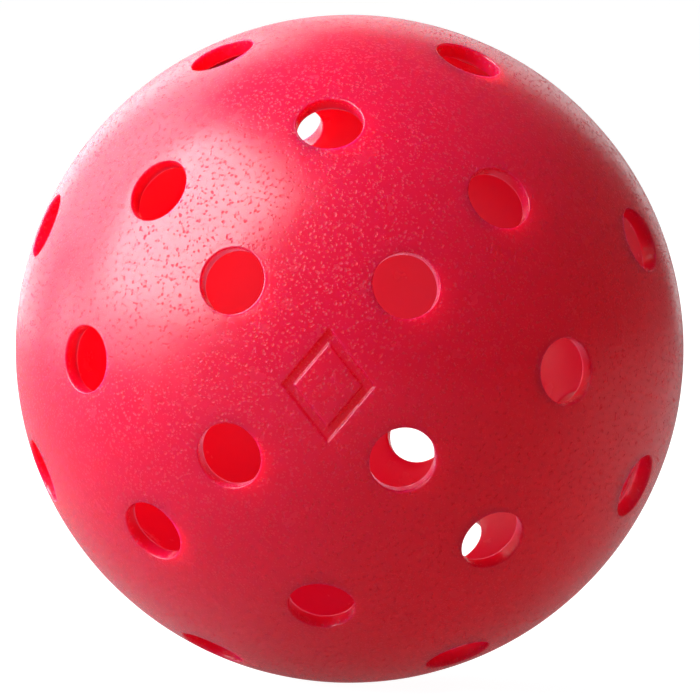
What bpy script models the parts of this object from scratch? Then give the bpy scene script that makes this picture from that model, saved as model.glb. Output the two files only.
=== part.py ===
"""A pickleball: a hollow ball of tough plastic, 74 mm across, with forty drilled holes.

Two moulded half shells meet in a stepped joint round the ball's middle, where a welded bead of
plastic holds them together. Lengths are in metres and +Z is up. The origin is the ball's centre.
The axis of the hole pattern is Y: the front pole, beside the engraved mark, faces -Y, and the seam
between the halves lies in the XZ plane.
"""

from math import acos, cos, pi, radians, sin, sqrt

import bmesh
import bpy
from mathutils import Vector

# The ball
BALL_RADIUS = 0.037
WALL = 0.0017
GAP = 0.0003
INNER_RADIUS = BALL_RADIUS - WALL

# The holes of one half: angle from the pole, number of holes, direction of the first one, in degrees
HOLE_RINGS = ((21.0, 4, 45.0), (45.0, 8, 0.0), (73.5, 8, 22.5))
HOLE_RADIUS = 0.0036
REAR_TWIST = 67.5
DRILL_OVERRUN = 0.002

# The stepped joint: the front half's lip slides inside the rear half's skirt
STEP_THICKNESS = (WALL - GAP) / 2
LIP_OUTER_RADIUS = INNER_RADIUS + STEP_THICKNESS
SKIRT_INNER_RADIUS = BALL_RADIUS - STEP_THICKNESS
LIP_LENGTH = 0.0012
REBATE_DEPTH = 0.0024

# The weld bead: a web in the joint's channel and a rounded crown on the inside of the ball
WEB_START = LIP_LENGTH + GAP
WEB_END = REBATE_DEPTH - GAP
CROWN_WIDTH = 0.0022
CROWN_HEIGHT = 0.0007

# The engraved mark: the outline of an upright lozenge, just off the front pole
MARK_CENTRE = (0.0014, -0.0014)
MARK_HALF_WIDTH = 0.0043
MARK_HALF_HEIGHT = 0.0053
MARK_STROKE = 0.001
MARK_DEPTH = 0.0004
MARK_STEPS_PER_SIDE = 3

# How finely the round shapes are divided
TURN_STEPS = 48
ARC_STEPS = 11
HOLE_STEPS = 18
CROWN_STEPS = 6
SMOOTH_ANGLE = radians(30)

# A point of an outline nearer to the axis than this is a pole, a single point
POLE_RADIUS = 0.000001

# Colours as linear RGB, and roughness
SHELL_RED = (0.78, 0.012, 0.075)
SHELL_ROUGHNESS = 0.3
WELD_RED = (0.60, 0.010, 0.050)
WELD_ROUGHNESS = 0.35


def clear_scene():
    for obj in list(bpy.data.objects):
        bpy.data.objects.remove(obj, do_unlink=True)


def plastic(name, colour, roughness):
    material = bpy.data.materials.new(name)
    material.use_nodes = True
    shader = material.node_tree.nodes["Principled BSDF"]
    shader.inputs["Base Color"].default_value = (*colour, 1.0)
    shader.inputs["Roughness"].default_value = roughness
    shader.inputs["Metallic"].default_value = 0.0
    material.diffuse_color = (*colour, 1.0)
    return material


def object_from(name, bm, material=None):
    """A mesh object that takes over the bmesh, with its faces turned outwards."""
    bmesh.ops.recalc_face_normals(bm, faces=bm.faces)
    mesh = bpy.data.meshes.new(name)
    bm.to_mesh(mesh)
    bm.free()
    obj = bpy.data.objects.new(name, mesh)
    bpy.context.scene.collection.objects.link(obj)
    if material:
        mesh.materials.append(material)
        mesh.shade_smooth()
        mesh.set_sharp_from_angle(angle=SMOOTH_ANGLE)
    return obj


def arc(radius, side, start, end):
    """(y, radius) points on a sphere from one polar angle to another, on the side -1 or +1 of the seam."""
    steps = range(ARC_STEPS + 1)
    angles = [start + (end - start) * step / ARC_STEPS for step in steps]
    return [(side * radius * cos(angle), radius * abs(sin(angle))) for angle in angles]


def turned(name, outline, material):
    """The solid that a closed outline of (y, radius) points sweeps about the Y axis."""
    bm = bmesh.new()
    rings = []
    for y, radius in outline:
        if radius < POLE_RADIUS:
            rings.append([bm.verts.new((0, y, 0))])
            continue
        turns = [2 * pi * step / TURN_STEPS for step in range(TURN_STEPS)]
        rings.append([bm.verts.new((radius * cos(turn), y, radius * sin(turn))) for turn in turns])
    for ring, following in zip(rings, rings[1:] + rings[:1]):
        if len(ring) == len(following) == 1:
            continue
        for step in range(TURN_STEPS):
            near = [ring[step % len(ring)], ring[(step + 1) % len(ring)]]
            far = [following[(step + 1) % len(following)], following[step % len(following)]]
            bm.faces.new(dict.fromkeys(near + far))
    return object_from(name, bm, material)


def front_outline():
    outer = arc(BALL_RADIUS, -1, 0, acos(GAP / 2 / BALL_RADIUS))
    lip = [(-GAP / 2, LIP_OUTER_RADIUS), (LIP_LENGTH, LIP_OUTER_RADIUS), (LIP_LENGTH, INNER_RADIUS)]
    return outer + lip + arc(INNER_RADIUS, -1, pi / 2, 0)


def rear_outline():
    outer = arc(BALL_RADIUS, 1, 0, acos(GAP / 2 / BALL_RADIUS))
    rebate = [(GAP / 2, SKIRT_INNER_RADIUS), (REBATE_DEPTH, SKIRT_INNER_RADIUS)]
    return outer + rebate + arc(INNER_RADIUS, 1, acos(REBATE_DEPTH / INNER_RADIUS), 0)


def bead_outline():
    middle = (WEB_START + WEB_END) / 2
    crown_end = middle + CROWN_WIDTH / 2
    crown_base = sqrt(INNER_RADIUS**2 - crown_end**2) - GAP
    web = [(WEB_START, LIP_OUTER_RADIUS), (WEB_END, LIP_OUTER_RADIUS), (WEB_END, crown_base)]
    crown = []
    for step in range(CROWN_STEPS + 1):
        angle = pi * step / CROWN_STEPS
        crown.append(
            (middle + CROWN_WIDTH / 2 * cos(angle), crown_base - CROWN_HEIGHT * sin(angle))
        )
    return web + crown + [(WEB_START, crown_base)]


def hole_directions(side, twist):
    """Unit vectors from the ball's centre through the holes on the side -1 (front) or +1 (rear)."""
    directions = []
    for polar_degrees, count, first_degrees in HOLE_RINGS:
        polar = radians(polar_degrees)
        for hole in range(count):
            turn = radians(first_degrees + twist + 360 * hole / count)
            directions.append(
                Vector((sin(polar) * cos(turn), side * cos(polar), sin(polar) * sin(turn)))
            )
    return directions


def drills(name, directions):
    """One cutter that holds a straight drill through the wall in each direction."""
    bm = bmesh.new()
    length = WALL + 2 * DRILL_OVERRUN
    for direction in directions:
        place = direction.to_track_quat("Z", "Y").to_matrix().to_4x4()
        place.translation = direction * (BALL_RADIUS - WALL / 2)
        bmesh.ops.create_cone(
            bm,
            cap_ends=True,
            segments=HOLE_STEPS,
            radius1=HOLE_RADIUS,
            radius2=HOLE_RADIUS,
            depth=length,
            matrix=place,
        )
    return as_cutter(object_from(name, bm))


def lozenge(half_width, half_height):
    """Points round a lozenge about the mark's centre, as (x, z), each side evenly divided."""
    corners = [(half_width, 0), (0, half_height), (-half_width, 0), (0, -half_height)]
    points = []
    for (x, z), (next_x, next_z) in zip(corners, corners[1:] + corners[:1]):
        for step in range(MARK_STEPS_PER_SIDE):
            share = step / MARK_STEPS_PER_SIDE
            points.append((x + (next_x - x) * share, z + (next_z - z) * share))
    centre_x, centre_z = MARK_CENTRE
    return [(centre_x + x, centre_z + z) for x, z in points]


def mark_cutter():
    """A ring of lozenge outline whose floor follows the ball, MARK_DEPTH under its surface."""
    bm = bmesh.new()
    side_length = sqrt(MARK_HALF_WIDTH**2 + MARK_HALF_HEIGHT**2)
    growth = MARK_STROKE / 2 * side_length / (MARK_HALF_WIDTH * MARK_HALF_HEIGHT)
    outer = lozenge(MARK_HALF_WIDTH * (1 + growth), MARK_HALF_HEIGHT * (1 + growth))
    inner = lozenge(MARK_HALF_WIDTH * (1 - growth), MARK_HALF_HEIGHT * (1 - growth))
    floor_radius = BALL_RADIUS - MARK_DEPTH
    top = -BALL_RADIUS - DRILL_OVERRUN
    floors = []
    tops = []
    for loop in (outer, inner):
        floors.append(
            [bm.verts.new((x, -sqrt(floor_radius**2 - x * x - z * z), z)) for x, z in loop]
        )
        tops.append([bm.verts.new((x, top, z)) for x, z in loop])
    bands = ((floors[0], floors[1]), (floors[1], tops[1]), (tops[1], tops[0]), (tops[0], floors[0]))
    for band, following in bands:
        for step in range(len(band)):
            after = (step + 1) % len(band)
            bm.faces.new((band[step], band[after], following[after], following[step]))
    return as_cutter(object_from("mark_cutter", bm))


def as_cutter(obj):
    obj.hide_render = True
    obj.display_type = "WIRE"
    return obj


def cut(obj, cutter):
    boolean = obj.modifiers.new(cutter.name, "BOOLEAN")
    boolean.operation = "DIFFERENCE"
    boolean.solver = "EXACT"
    boolean.object = cutter


def build():
    clear_scene()
    front_plastic = plastic("front_plastic", SHELL_RED, SHELL_ROUGHNESS)
    rear_plastic = plastic("rear_plastic", SHELL_RED, SHELL_ROUGHNESS)
    front = turned("front_half_shell", front_outline(), front_plastic)
    rear = turned("rear_half_shell", rear_outline(), rear_plastic)
    turned("weld_bead", bead_outline(), plastic("weld_plastic", WELD_RED, WELD_ROUGHNESS))
    cut(front, drills("front_drills", hole_directions(-1, 0)))
    cut(front, mark_cutter())
    cut(rear, drills("rear_drills", hole_directions(1, REAR_TWIST)))


build()
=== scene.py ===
"""A pickleball as it looks: pitted, slightly translucent hot-pink plastic with forty drilled holes.

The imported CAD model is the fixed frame. Each of its three nodes is replaced by a finer mesh of the
same size: two half shells with worn drill rims and an engraved mark, and the weld bead inside.
Lengths in the constants are millimetres; everything is made in metres.
"""

from json import dumps
from math import asin, cos, pi, radians, sin, sqrt

import bpy
import numpy as np
from mathutils import Matrix, Vector
from mathutils.geometry import delaunay_2d_cdt


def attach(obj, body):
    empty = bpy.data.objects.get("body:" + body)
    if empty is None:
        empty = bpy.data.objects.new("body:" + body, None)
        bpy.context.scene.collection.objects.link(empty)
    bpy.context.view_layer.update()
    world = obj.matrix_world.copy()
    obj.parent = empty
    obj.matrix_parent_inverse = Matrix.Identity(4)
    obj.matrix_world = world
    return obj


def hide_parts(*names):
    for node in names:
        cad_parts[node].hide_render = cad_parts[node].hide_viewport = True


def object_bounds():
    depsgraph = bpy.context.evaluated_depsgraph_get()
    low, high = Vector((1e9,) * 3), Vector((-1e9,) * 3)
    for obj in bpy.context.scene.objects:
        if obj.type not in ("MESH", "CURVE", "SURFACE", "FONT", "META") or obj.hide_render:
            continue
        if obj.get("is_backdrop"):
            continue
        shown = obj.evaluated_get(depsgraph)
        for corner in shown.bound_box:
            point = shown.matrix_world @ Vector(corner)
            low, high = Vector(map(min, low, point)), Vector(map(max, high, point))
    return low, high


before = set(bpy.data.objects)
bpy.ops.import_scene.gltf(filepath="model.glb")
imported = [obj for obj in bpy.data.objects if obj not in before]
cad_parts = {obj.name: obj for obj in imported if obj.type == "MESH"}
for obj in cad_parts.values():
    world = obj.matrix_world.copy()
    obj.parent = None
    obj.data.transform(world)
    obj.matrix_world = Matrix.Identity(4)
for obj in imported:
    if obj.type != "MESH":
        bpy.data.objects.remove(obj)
cad_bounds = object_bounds()

MM = 0.001

# The ball, as in the CAD model. Rings of holes as (angle from the pole, count, turn of the first).
BALL_RADIUS = (cad_bounds[1].x - cad_bounds[0].x) / 2 / MM
WALL = 1.7
INNER_RADIUS = BALL_RADIUS - WALL
HOLE_RINGS = ((21.0, 4, 45.0), (45.0, 8, 0.0), (73.5, 8, 22.5))
HOLE_RADIUS = 3.6
REAR_TWIST = 67.5
LIP_RADIUS = INNER_RADIUS + 0.7
SKIRT_RADIUS = BALL_RADIUS - 0.7
LIP_LENGTH = 1.2
REBATE_DEPTH = 2.4

# How fine the meshes are
OUTER_SPACING = 0.46
INNER_SPACING = 1.0
TRIANGLE_HEIGHT = 0.866
HOLE_STEPS = 80
SEAM_STEPS = 600
BEAD_STEPS = 480
CROWN_STEPS = 10
POINT_TOLERANCE = 1e-9

# A drilled hole from the ball's face inwards, as (distance outside the bore, depth below the face).
# The first rows are the burr round the mouth: a faint moat, a raised lip and a worn chamfer.
MOUTH_ROWS = ((0.46, 0.0), (0.33, 0.015), (0.2, -0.025), (0.11, -0.01), (0.04, 0.07), (0.0, 0.2))
BORE_ROWS = ((0.0, 0.45), (0.0, 0.8), (0.0, 1.15), (0.0, 1.4))
EXIT_ROWS = ((0.02, 1.56), (0.08, 1.66), (0.22, 1.7))
MOUTH_VARIATION = 0.3
BORE_WOBBLE = 0.035
BORE_SCORING = 0.006

# The outer edge of each half at the seam, as (distance from the seam, depth below the face)
SEAM_ROWS = ((0.34, 0.0), (0.2, 0.012), (0.1, 0.05), (0.05, 0.11), (0.03, 0.2))

# The engraved mark: the outline of an upright lozenge, just off the front pole
MARK_CENTRE = (1.4, -1.4)
MARK_HALF_WIDTH = 4.3
MARK_HALF_HEIGHT = 5.3
MARK_HALF_STROKE = 0.5
MARK_DEPTH = 0.4
MARK_EDGE = 0.11
MARK_LOOPS = (0.0, 0.2, 0.32, 0.39, 0.44, 0.5, 0.56, 0.61, 0.7)
MARK_POINT_SPACING = 0.17

# The mould's slight unevenness over the whole ball, a sum of waves
WAVE_COUNT = 24
WAVE_RATE = 12
WAVE_HEIGHT = 0.00175

# The weld bead inside the seam
BEAD_GAP = 0.3
CROWN_WIDTH = 2.2
CROWN_HEIGHT = 0.7
CROWN_WIDTH_VARIATION = 0.12
CROWN_HEIGHT_VARIATION = 0.18
WEB_CHAMFER = 0.06

# Colours as linear RGB, and how far each colour of light travels inside the plastic
SHELL_COLOUR = (0.7, 0.004, 0.048)
WELD_COLOUR = (0.75, 0.005, 0.035)
LIGHT_REACH = (1.5, 0.06, 0.18)
REACH_SCALE = 10
IOR = 1.5

# The pits, as (spacing, smallest radius, largest radius, depth, added roughness). The roughness fills
# the middle of a pit and fades from PIT_EDGE of its radius. Noise of the first PIT_BEND's size bends
# the pits out of round by up to the second. They fade out between the depths of PITTED_SKIN.
PITS = ((0.5, 0.11, 0.23, 0.075, 0.45), (0.36, 0.05, 0.12, 0.025, 0.15))
PIT_EDGE = 0.65
PIT_BEND = (0.38, 0.3)
# How much the middle of each large pit is darkened: painted shade, for the shade that falls in a pit
PIT_PAINTED_SHADE = 0.03
PITTED_SKIN = (0.8, 0.5)

# The rest of the moulded surface: fine grain and wide soft unevenness as (size, height), and patches
# of colour and of roughness as a size and (least, most)
GRAIN = (0.1, 0.008)
UNEVENNESS = (1.6, 0.02)
SHADE_SIZE = 9.0
SHELL_SHADE = (0.96, 1.04)
ROUGHNESS_SIZE = 2.5
SHELL_ROUGHNESS = (0.22, 0.28)

# The weld's surface, in the same way
RIPPLE = (0.7, 0.05)
WELD_SHADE_SIZE = 3.0
WELD_SHADE = (0.85, 1.0)
WELD_ROUGHNESS = 0.35

# The part of a noise's range that its patches spread over
NOISE_RANGE = (0.3, 0.7)

# The hidden faces of the joint glow as the wall's inside does, for light that has crossed more
# layers there than a renderer traces. The joint lies at JOINT_PLACE from the seam and at JOINT_DEPTH
# under the ball's face, each as (middle, half the width).
JOINT_GLOW = 0.24
JOINT_GLOW_COLOUR = (1.0, 0.01, 0.05, 1.0)
JOINT_PLACE = (1.2, 1.3)
JOINT_DEPTH = (1.0, 0.5)

# The camera: where it stands, and the share of the picture's width that the ball fills
CAMERA_AZIMUTH = 5.65
CAMERA_ELEVATION = 3.99
CAMERA_ROLL = 1.0
CAMERA_DISTANCE = 24 * BALL_RADIUS
CAMERA_SHIFT = (0.0006, -0.0017)
SENSOR_WIDTH = 36
BALL_SHARE = 0.9543

# The studio, in metres. The floor and the world are white to the camera and darker to the ball. The
# floor's brightness and glow are (to the ball, to the camera), and the glow that the ball gets rises
# from nothing across FLOOR_GLOW_RANGE, which runs from in front of the ball to behind it.
FLOOR_RADIUS = 6.0
FLOOR_STEPS = 96
FLOOR_BRIGHTNESS = (0.14, 0.25)
FLOOR_GLOW = (0.25, 0.97)
FLOOR_GLOW_RANGE = (-0.06, 0.03)
WORLD_STRENGTH = 0.12

# The softboxes, as (name, azimuth, elevation, distance, width, height, watts)
SOFTBOXES = (
    ("key", -67, 36, 0.8, 0.73, 0.76, 19.1),
    ("left_panel", -86, -8, 0.8, 0.98, 0.6, 6.4),
    ("left_rear_panel", -142, 20, 0.8, 0.55, 0.85, 2.5),
    ("upper_left_panel", -107, 31, 0.8, 0.45, 0.5, 1.75),
    ("back_panel", -174, 15, 0.8, 0.75, 0.6, 1.35),
)

# Light that has scattered many times inside the ball, which a renderer's few bounces would lose: a
# soft light below the centre. Its radius is a share of the ball's, its drop is in millimetres and its
# power in watts.
INNER_LIGHT_RADIUS = 0.6
INNER_LIGHT_DROP = 9
INNER_LIGHT_COLOUR = (1.0, 0.5, 0.85)
INNER_LIGHT_POWER = 0.0104

RANDOM = np.random.default_rng(40)


def rotation_to(side):
    """The matrix from a half's own axes to the ball's: its pole is +Z there, and -Y or +Y here."""
    if side < 0:
        return np.array(((1, 0, 0), (0, 0, -1), (0, 1, 0)), float)
    return np.array(((-1, 0, 0), (0, 0, 1), (0, 1, 0)), float)


def hole_axes(twist):
    """Unit vectors through a half's holes, with the pole at +Z."""
    axes = []
    for polar_degrees, count, first_degrees in HOLE_RINGS:
        polar = radians(polar_degrees)
        for hole in range(count):
            turn = radians(first_degrees + twist + 360 * hole / count)
            axes.append((sin(polar) * cos(turn), sin(polar) * sin(turn), cos(polar)))
    return np.array(axes)


def turn_angles(count):
    return np.arange(count) * 2 * pi / count


def harmonics(angles, count, roughness=1.0):
    """A smooth random curve round a circle, between about -1 and 1."""
    total = np.zeros_like(angles)
    for order in range(1, count + 1):
        phase = RANDOM.uniform(0, 2 * pi)
        total += RANDOM.normal() / order**roughness * np.cos(order * angles + phase)
    return total / (np.abs(total).max() + 1e-9)


class Skin:
    """The points and faces of one closed surface."""

    def __init__(self):
        self.points = np.zeros((0, 3))
        self.faces = []

    def add(self, points):
        """Adds points and gives their indices."""
        first = len(self.points)
        self.points = np.vstack((self.points, points))
        return np.arange(first, first + len(points))

    def band(self, row, following):
        """Joins two closed rows of the same length; the surface lies left of the first row's way round."""
        after, following_after = np.roll(row, -1), np.roll(following, -1)
        self.faces += np.stack((row, after, following_after, following), 1).tolist()

    def bands(self, row, rows):
        """Joins a row of indices to rows of new points, one after another, and gives the last."""
        for points in rows:
            following = self.add(points)
            self.band(row, following)
            row = following
        return row

    def piece(self, name, matrix, material):
        mesh = bpy.data.meshes.new(name)
        mesh.from_pydata((self.points @ matrix.T * MM).tolist(), [], self.faces)
        mesh.materials.append(material)
        mesh.shade_smooth()
        obj = bpy.data.objects.new(name, mesh)
        bpy.context.scene.collection.objects.link(obj)
        return obj


def spiral(spacing, radius, lowest):
    """Evenly spread unit vectors on the cap of a sphere about +Z, down to the height lowest."""
    count = int(2 * pi * radius * (radius - lowest) / (spacing**2 * TRIANGLE_HEIGHT))
    height = 1 - (1 - lowest / radius) * (np.arange(count) + 0.5) / count
    turn = np.arange(count) * pi * (3 - sqrt(5))
    across = np.sqrt(1 - height**2)
    return np.stack((across * np.cos(turn), across * np.sin(turn), height), 1)


def covered(skin, rim, holes, filling, inwards):
    """Triangulates one skin of a half between its rim and its holes.

    rim and holes are closed rows of indices already in the skin, each running anticlockwise as seen
    from outside the ball. filling are the indices of the loose points between them.
    """
    loops = [rim, *holes]
    every = np.concatenate((*loops, filling))
    directions = skin.points[every]
    directions = directions / np.linalg.norm(directions, axis=1, keepdims=True)
    flat = directions[:, :2] / (1 + directions[:, 2:])
    loop_of = np.full(len(every), -1)
    edges = []
    start = 0
    for number, loop in enumerate(loops):
        loop_of[start : start + len(loop)] = number
        edges += [(start + step, start + (step + 1) % len(loop)) for step in range(len(loop))]
        start += len(loop)
    found = delaunay_2d_cdt([Vector(point) for point in flat.tolist()], edges, [], 0, POINT_TOLERANCE, True)
    index = np.array([own[0] for own in found[3]])
    triangles = index[np.array(found[2])]

    # A triangle with its three corners in one row lies either inside that row or outside it, and
    # runs round it the same way or the other way.
    own = loop_of[triangles]
    in_one = (own[:, 0] >= 0) & (own[:, 0] == own[:, 1]) & (own[:, 0] == own[:, 2])
    rises = (np.roll(triangles, -1, 1) > triangles).sum(1)
    surplus = in_one & np.where(own[:, 0] == 0, rises == 1, rises == 2)
    kept = every[triangles[~surplus]]
    skin.faces += (kept[:, ::-1] if inwards else kept).tolist()


def waviness():
    """A function of unit vectors: the mould's slight unevenness, in millimetres."""
    waves = RANDOM.normal(size=(WAVE_COUNT, 3)) * WAVE_RATE
    phases = RANDOM.uniform(0, 2 * pi, WAVE_COUNT)
    return lambda directions: WAVE_HEIGHT * np.cos(directions @ waves.T + phases).sum(1)


def mark_distance(directions):
    """How far each direction's point on the ball lies from the middle of the mark's stroke."""
    x = np.abs(directions[:, 0] * BALL_RADIUS - MARK_CENTRE[0])
    z = np.abs(directions[:, 1] * BALL_RADIUS - MARK_CENTRE[1])
    side = sqrt(MARK_HALF_WIDTH**2 + MARK_HALF_HEIGHT**2)
    slope = MARK_HALF_WIDTH * MARK_HALF_HEIGHT / side
    return np.abs(x / MARK_HALF_WIDTH + z / MARK_HALF_HEIGHT - 1) * slope


def mark_depth(directions):
    """The depth of the engraved groove, with rounded edges."""
    share = (MARK_HALF_STROKE + MARK_EDGE - mark_distance(directions)) / (2 * MARK_EDGE)
    share = np.clip(share, 0, 1)
    return MARK_DEPTH * share * share * (3 - 2 * share)


def mark_points():
    """Directions in closed lozenges along the groove, so that its edges come out crisp."""
    side = sqrt(MARK_HALF_WIDTH**2 + MARK_HALF_HEIGHT**2)
    slope = MARK_HALF_WIDTH * MARK_HALF_HEIGHT / side
    points = []
    for offset in sorted({sign * loop for loop in MARK_LOOPS for sign in (-1, 1)}):
        scale = 1 + offset / slope
        corners = np.array(
            ((MARK_HALF_WIDTH, 0), (0, MARK_HALF_HEIGHT), (-MARK_HALF_WIDTH, 0), (0, -MARK_HALF_HEIGHT))
        )
        steps = int(side * scale / MARK_POINT_SPACING)
        for corner, following in zip(corners, np.roll(corners, -1, 0)):
            shares = (np.arange(steps) / steps)[:, None]
            points.append(scale * (corner + (following - corner) * shares))
    flat = (np.concatenate(points) + MARK_CENTRE) / BALL_RADIUS
    height = np.sqrt(1 - (flat**2).sum(1))
    return np.column_stack((flat, height))


def hole_row(axis, distance, radius):
    """Points round a hole's axis at the given distances from it and from the ball's centre."""
    side = np.cross(axis, (0.0, 0.0, 1.0))
    side /= np.linalg.norm(side)
    other = np.cross(axis, side)
    turns = turn_angles(HOLE_STEPS)[:, None]
    height = np.sqrt(radius**2 - distance**2)[:, None]
    return axis * height + distance[:, None] * (side * np.cos(turns) + other * np.sin(turns))


def hole_rows(axis):
    """The rows of one drilled hole, from the ball's face to its inside, each a little uneven."""
    turns = turn_angles(HOLE_STEPS)
    width = 1 + MOUTH_VARIATION * harmonics(turns, 5)
    burr = 1 + harmonics(turns, 14, 0.4)
    wobble = BORE_WOBBLE * harmonics(turns, 4)
    rows = []
    for outside, depth in MOUTH_ROWS:
        raised = depth * (burr if depth < 0 else 1)
        rows.append(hole_row(axis, HOLE_RADIUS + wobble + outside * width, BALL_RADIUS - raised))
    level = np.ones_like(turns)
    for outside, depth in BORE_ROWS:
        scored = wobble + BORE_SCORING * harmonics(turns, 20, 0.2)
        rows.append(hole_row(axis, HOLE_RADIUS + scored + outside, level * (BALL_RADIUS - depth)))
    for outside, depth in EXIT_ROWS:
        rows.append(hole_row(axis, HOLE_RADIUS + wobble + outside, level * (BALL_RADIUS - depth)))
    return rows


def ring(radius, height):
    turns = turn_angles(SEAM_STEPS)
    return np.stack((radius * np.cos(turns), radius * np.sin(turns), np.full(SEAM_STEPS, height)), 1)


def half_shell(name, side, twist, step_outline, material):
    """One half of the ball: an outer and an inner skin, joined by the holes' walls and the stepped edge."""
    skin = Skin()
    axes = hole_axes(twist)
    top_height = SEAM_ROWS[0][0]
    seam = [ring(sqrt(BALL_RADIUS**2 - height**2) - depth, height) for height, depth in SEAM_ROWS]
    edge = seam[1:] + [ring(radius, height) for radius, height in step_outline]
    holes = [hole_rows(axis) for axis in axes]

    # The outer skin
    rim = skin.add(seam[0])
    mouths = [skin.add(rows[0]) for rows in holes]
    widest = HOLE_RADIUS + MOUTH_ROWS[0][0] * (1 + MOUTH_VARIATION) + OUTER_SPACING / 2
    loose = spiral(OUTER_SPACING, BALL_RADIUS, top_height + OUTER_SPACING / 2)
    loose = loose[(loose @ axes.T).max(1) < cos(asin(widest / BALL_RADIUS))]
    if side < 0:
        loose = loose[mark_distance(loose) > MARK_LOOPS[-1] + MARK_POINT_SPACING / 2]
        loose = np.vstack((loose, mark_points()))
    depth = mark_depth(loose) if side < 0 else 0
    bulge = waviness()(loose) - depth
    filling = skin.add(loose * (BALL_RADIUS + bulge)[:, None])
    covered(skin, rim, mouths, filling, False)

    # The walls of the holes and the edge at the seam
    exits = [skin.bands(mouth, rows[1:]) for mouth, rows in zip(mouths, holes)]
    last = skin.bands(rim[::-1], [points[::-1] for points in edge])[::-1]

    # The inner skin
    inner_edge = step_outline[-1][1]
    widest = HOLE_RADIUS + EXIT_ROWS[-1][0] + BORE_WOBBLE + INNER_SPACING / 2
    loose = spiral(INNER_SPACING, INNER_RADIUS, inner_edge + INNER_SPACING / 2)
    loose = loose[(loose @ axes.T).max(1) < cos(asin(widest / INNER_RADIUS))]
    filling = skin.add(loose * INNER_RADIUS)
    covered(skin, last, exits, filling, True)
    return skin.piece(name, rotation_to(side), material)


def weld_bead(name, material):
    """The ring of melted plastic: a web between the halves and a rippled crown inside the ball."""
    skin = Skin()
    turns = turn_angles(BEAD_STEPS)
    wide = CROWN_WIDTH / 2 * (1 + CROWN_WIDTH_VARIATION * harmonics(turns, 30, 0.3))
    tall = CROWN_HEIGHT * (1 + CROWN_HEIGHT_VARIATION * harmonics(turns, 40, 0.3))
    middle = (LIP_LENGTH + REBATE_DEPTH) / 2
    base = sqrt(INNER_RADIUS**2 - (middle + CROWN_WIDTH / 2) ** 2) - BEAD_GAP
    half_web = (REBATE_DEPTH - LIP_LENGTH) / 2 - BEAD_GAP
    rows = [(LIP_RADIUS - WEB_CHAMFER, half_web), (LIP_RADIUS, half_web - WEB_CHAMFER)]
    outline = [(np.full_like(turns, radius), np.full_like(turns, height)) for radius, height in rows]
    outline += [(radius, -height) for radius, height in reversed(outline)]
    outline += [(np.full_like(turns, base), np.full_like(turns, -half_web))]
    for step in range(CROWN_STEPS + 1):
        angle = pi * step / CROWN_STEPS
        outline.append((base - tall * sin(angle), -wide * cos(angle)))
    outline += [(np.full_like(turns, base), np.full_like(turns, half_web))]
    rows = [
        np.stack((radius * np.cos(turns), middle + height, radius * np.sin(turns)), 1)
        for radius, height in outline
    ]
    first = skin.add(rows[0])
    skin.band(skin.bands(first, rows[1:]), first)
    return skin.piece(name, np.eye(3), material)


class Nodes:
    """A material's node tree, with short calls for what these materials use."""

    def __init__(self, name):
        self.material = bpy.data.materials.new(name)
        self.material.use_nodes = True
        self.tree = self.material.node_tree
        self.shader = self.tree.nodes["Principled BSDF"]

    def add(self, kind, inputs, output=0, **settings):
        """Makes a node, links or sets its inputs and gives one of its outputs."""
        node = self.tree.nodes.new(kind)
        for key, value in settings.items():
            setattr(node, key, value)
        for key, value in inputs.items():
            self.feed(node.inputs[key], value)
        return node.outputs[output]

    def feed(self, socket, value):
        if isinstance(value, bpy.types.NodeSocket):
            self.tree.links.new(value, socket)
        else:
            socket.default_value = value

    def maths(self, operation, *values):
        return self.add("ShaderNodeMath", dict(enumerate(values)), operation=operation)

    def between(self, value, low, high, to_low=0.0, to_high=1.0, kind="SMOOTHSTEP"):
        inputs = {"Value": value, "From Min": low, "From Max": high, "To Min": to_low, "To Max": to_high}
        return self.add("ShaderNodeMapRange", inputs, interpolation_type=kind)

    def noise(self, place, size, detail=2.0):
        """Noise with features of about the given size in millimetres, from 0 to 1."""
        inputs = {"Vector": place, "Scale": 1 / (size * MM), "Detail": detail}
        return self.add("ShaderNodeTexNoise", inputs)

    def pits(self, place, spacing, smallest, largest):
        """Isolated pits of random radii: 1 in the middle and 0 outside, first as a bowl, then as a disc."""
        distance = self.add("ShaderNodeTexVoronoi", {"Vector": place, "Scale": 1 / (spacing * MM)}, 0)
        colour = distance.node.outputs["Color"]
        chance = self.add("ShaderNodeSeparateColor", {0: colour})
        size = self.between(chance, 0.0, 1.0, smallest / spacing, largest / spacing, "LINEAR")
        share = self.maths("DIVIDE", distance, size)
        return self.between(share, 0.0, 1.0, 1.0, 0.0), self.between(share, PIT_EDGE, 1.0, 1.0, 0.0)

    def translucent(self, reach):
        """Lets each colour of light travel that far inside the plastic."""
        self.shader.inputs["Subsurface Weight"].default_value = 1.0
        self.shader.inputs["Subsurface Scale"].default_value = REACH_SCALE * MM
        self.shader.inputs["Subsurface Radius"].default_value = reach


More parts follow.
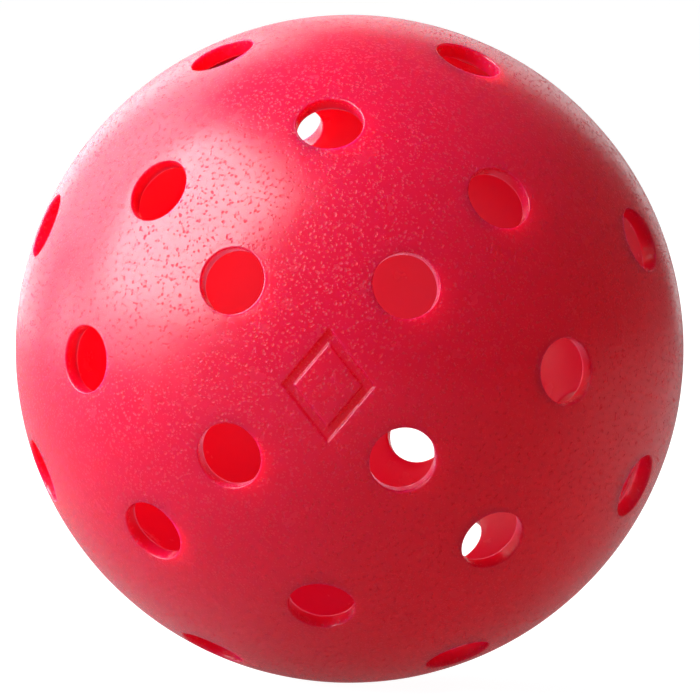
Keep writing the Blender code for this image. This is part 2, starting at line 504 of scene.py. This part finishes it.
def pitted_plastic(name, colour, reach):
    """Satin, slightly translucent plastic with the fine pits and grain that moulding leaves, and painted shade
    in the middle of the large pits.
    """
    nodes = Nodes(name)
    place = nodes.add("ShaderNodeTexCoord", {}, 3)
    bend_size, bend = PIT_BEND
    settings = {"Vector": place, "Scale": 1 / (bend_size * MM), "Detail": 1.0}
    push = nodes.add("ShaderNodeTexNoise", settings, 1)
    push = nodes.add("ShaderNodeVectorMath", {0: push, 1: (0.5, 0.5, 0.5)}, operation="SUBTRACT")
    push = nodes.add("ShaderNodeVectorMath", {0: push, 3: bend * MM}, operation="SCALE")
    bent = nodes.add("ShaderNodeVectorMath", {0: place, 1: push}, operation="ADD")

    # Pits only in the ball's face, not in its inside or in the walls of the holes
    radius = nodes.add("ShaderNodeVectorMath", {0: place}, 1, operation="LENGTH")
    outside = nodes.between(radius, *((BALL_RADIUS - depth) * MM for depth in PITTED_SKIN))
    height = 0.0
    rough = nodes.between(nodes.noise(place, ROUGHNESS_SIZE, 3.0), *NOISE_RANGE, *SHELL_ROUGHNESS, "LINEAR")
    cores = []
    for spacing, smallest, largest, depth, roughening in PITS:
        bowl, disc = nodes.pits(bent, spacing, smallest, largest)
        height = nodes.maths("MULTIPLY_ADD", nodes.maths("MULTIPLY", outside, bowl), -depth, height)
        cores.append(nodes.maths("MULTIPLY", outside, disc))
        rough = nodes.maths("MULTIPLY_ADD", cores[-1], roughening, rough)
    height = nodes.maths("MULTIPLY_ADD", nodes.noise(place, GRAIN[0]), GRAIN[1], height)
    height = nodes.maths("MULTIPLY_ADD", nodes.noise(place, UNEVENNESS[0], 1.0), UNEVENNESS[1], height)
    bump = nodes.add("ShaderNodeBump", {"Height": height, "Distance": MM, "Strength": 1.0})
    nodes.feed(nodes.shader.inputs["Normal"], bump)
    nodes.feed(nodes.shader.inputs["Roughness"], rough)

    shade = nodes.between(nodes.noise(place, SHADE_SIZE, 3.0), *NOISE_RANGE, *SHELL_SHADE, "LINEAR")
    # Painted shade: the middle of each large pit is darkened a little
    shade = nodes.maths("MULTIPLY_ADD", cores[0], -PIT_PAINTED_SHADE, shade)
    tint = nodes.add("ShaderNodeVectorMath", {0: colour, 3: shade}, operation="SCALE")
    nodes.feed(nodes.shader.inputs["Base Color"], tint)

    # Painted glow: the joint's hidden faces give off light of their own, standing in for light carried through
    # the wall there
    along = nodes.add("ShaderNodeSeparateXYZ", {0: place}, 1)
    near_seam = nodes.maths("COMPARE", along, JOINT_PLACE[0] * MM, JOINT_PLACE[1] * MM)
    in_wall = nodes.maths("COMPARE", radius, (BALL_RADIUS - JOINT_DEPTH[0]) * MM, JOINT_DEPTH[1] * MM)
    joint = nodes.maths("MULTIPLY", near_seam, in_wall)
    nodes.feed(nodes.shader.inputs["Emission Strength"], nodes.maths("MULTIPLY", joint, JOINT_GLOW))
    nodes.shader.inputs["Emission Color"].default_value = JOINT_GLOW_COLOUR
    nodes.material.cycles.emission_sampling = "NONE"
    nodes.shader.inputs["Metallic"].default_value = 0.0
    nodes.shader.inputs["IOR"].default_value = IOR
    nodes.translucent(reach)
    return nodes.material


def melted_plastic(name, colour, reach):
    """The re-melted plastic of the weld: rougher, with soft ripples and no pits."""
    nodes = Nodes(name)
    place = nodes.add("ShaderNodeTexCoord", {}, 3)
    height = nodes.maths("MULTIPLY", nodes.noise(place, RIPPLE[0], 2.0), RIPPLE[1])
    bump = nodes.add("ShaderNodeBump", {"Height": height, "Distance": MM, "Strength": 1.0})
    nodes.feed(nodes.shader.inputs["Normal"], bump)
    shade = nodes.between(nodes.noise(place, WELD_SHADE_SIZE), *NOISE_RANGE, *WELD_SHADE, "LINEAR")
    tint = nodes.add("ShaderNodeVectorMath", {0: colour, 3: shade}, operation="SCALE")
    nodes.feed(nodes.shader.inputs["Base Color"], tint)
    nodes.shader.inputs["Roughness"].default_value = WELD_ROUGHNESS
    nodes.translucent(reach)
    return nodes.material


def around(azimuth, elevation, distance):
    """A point at that distance from the ball's centre; azimuth 0 is in front and 90 to the right."""
    a, e = radians(azimuth), radians(elevation)
    return Vector((sin(a) * cos(e), -cos(a) * cos(e), sin(e))) * distance


def aimed_at_ball(obj, place):
    obj.location = place
    obj.rotation_mode = "QUATERNION"
    obj.rotation_quaternion = (-place).to_track_quat("-Z", "Y")


def softbox(name, azimuth, elevation, distance, width, height, power):
    lamp = bpy.data.lights.new(name, "AREA")
    lamp.shape = "RECTANGLE"
    lamp.size = width
    lamp.size_y = height
    lamp.energy = power
    obj = bpy.data.objects.new(name, lamp)
    bpy.context.scene.collection.objects.link(obj)
    aimed_at_ball(obj, around(azimuth, elevation, distance))
    obj.visible_camera = False


def make_camera():
    lens = bpy.data.cameras.new("camera")
    lens.sensor_width = SENSOR_WIDTH
    reach = sqrt((CAMERA_DISTANCE * MM) ** 2 - (BALL_RADIUS * MM) ** 2) / (BALL_RADIUS * MM)
    lens.lens = BALL_SHARE / 2 * SENSOR_WIDTH * reach
    lens.clip_start = 0.01
    lens.clip_end = 20
    obj = bpy.data.objects.new("camera", lens)
    bpy.context.scene.collection.objects.link(obj)
    aimed_at_ball(obj, around(CAMERA_AZIMUTH, CAMERA_ELEVATION, CAMERA_DISTANCE * MM))
    roll = Matrix.Rotation(radians(CAMERA_ROLL), 4, "Z").to_quaternion()
    obj.rotation_quaternion = obj.rotation_quaternion @ roll
    lens.shift_x, lens.shift_y = CAMERA_SHIFT
    bpy.context.scene.camera = obj


def make_floor():
    """A wide disc under the ball that looks white, with a faint soft shadow."""
    turns = turn_angles(FLOOR_STEPS)
    level = cad_bounds[0].z
    rim = [(FLOOR_RADIUS * cos(turn), FLOOR_RADIUS * sin(turn), level) for turn in turns]
    mesh = bpy.data.meshes.new("floor")
    mesh.from_pydata(rim, [], [tuple(range(FLOOR_STEPS))])
    floor = bpy.data.objects.new("floor", mesh)
    bpy.context.scene.collection.objects.link(floor)
    nodes = Nodes("floor_white")
    seen = nodes.add("ShaderNodeLightPath", {}, 0)
    nodes.feed(nodes.shader.inputs["Base Color"], nodes.between(seen, 0.0, 1.0, *FLOOR_BRIGHTNESS))
    backwards = nodes.add("ShaderNodeSeparateXYZ", {0: nodes.add("ShaderNodeTexCoord", {}, 3)}, 1)
    glow = nodes.between(backwards, *FLOOR_GLOW_RANGE, 0.0, FLOOR_GLOW[0])
    glow = nodes.add("ShaderNodeMix", {0: seen, 2: glow, 3: FLOOR_GLOW[1]})
    nodes.feed(nodes.shader.inputs["Emission Strength"], glow)
    nodes.shader.inputs["Emission Color"].default_value = (1.0, 1.0, 1.0, 1.0)
    nodes.shader.inputs["Roughness"].default_value = 1.0
    nodes.shader.inputs["Specular IOR Level"].default_value = 0.0
    nodes.material.cycles.emission_sampling = "NONE"
    mesh.materials.append(nodes.material)
    floor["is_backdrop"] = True


def make_world():
    """White to the camera, and dim to everything else."""
    world = bpy.data.worlds.new("studio")
    world.use_nodes = True
    tree = world.node_tree
    background = tree.nodes["Background"]
    background.inputs["Color"].default_value = (1.0, 1.0, 1.0, 1.0)
    seen = tree.nodes.new("ShaderNodeLightPath").outputs["Is Camera Ray"]
    strength = tree.nodes.new("ShaderNodeMapRange")
    strength.inputs["To Min"].default_value = WORLD_STRENGTH
    tree.links.new(seen, strength.inputs["Value"])
    tree.links.new(strength.outputs["Result"], background.inputs["Strength"])
    bpy.context.scene.world = world
    bpy.context.scene.view_settings.view_transform = "Standard"


def make_inner_light():
    lamp = bpy.data.lights.new("inner_light", "POINT")
    lamp.shadow_soft_size = INNER_LIGHT_RADIUS * BALL_RADIUS * MM
    lamp.color = INNER_LIGHT_COLOUR
    lamp.energy = INNER_LIGHT_POWER
    obj = bpy.data.objects.new("inner_light", lamp)
    bpy.context.scene.collection.objects.link(obj)
    obj.location.z = -INNER_LIGHT_DROP * MM
    obj.visible_camera = False


make_camera()
make_floor()
make_world()
for name, *setting in SOFTBOXES:
    softbox(name, *setting)
make_inner_light()

shell = pitted_plastic("pitted_pink_plastic", SHELL_COLOUR, LIGHT_REACH)
weld = melted_plastic("weld_plastic", WELD_COLOUR, LIGHT_REACH)

# The stepped edges, as (radius, distance from the seam towards the half's own pole)
seam_gap = SEAM_ROWS[-1][0]
front_step = [
    (LIP_RADIUS, seam_gap),
    (LIP_RADIUS, -LIP_LENGTH),
    (INNER_RADIUS, -LIP_LENGTH),
    (INNER_RADIUS, 0.0),
]
rebate_radius = sqrt(INNER_RADIUS**2 - REBATE_DEPTH**2)
rear_step = [(SKIRT_RADIUS, seam_gap), (SKIRT_RADIUS, REBATE_DEPTH), (rebate_radius, REBATE_DEPTH)]
front = half_shell("pitted_front_half", -1, 0, front_step, shell)
rear = half_shell("pitted_rear_half", 1, 180 - REAR_TWIST, rear_step, shell)
bead = weld_bead("rippled_weld_bead", weld)

for piece, node, slot in (
    (front, "front_half_shell", "shell_plastic"),
    (rear, "rear_half_shell", "shell_plastic"),
    (bead, "weld_bead", "weld_plastic"),
):
    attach(piece, "root")
    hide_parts(node)

sizes = {"cad": [list(corner) for corner in cad_bounds], "visual": [list(corner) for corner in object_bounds()]}
dumps(sizes)
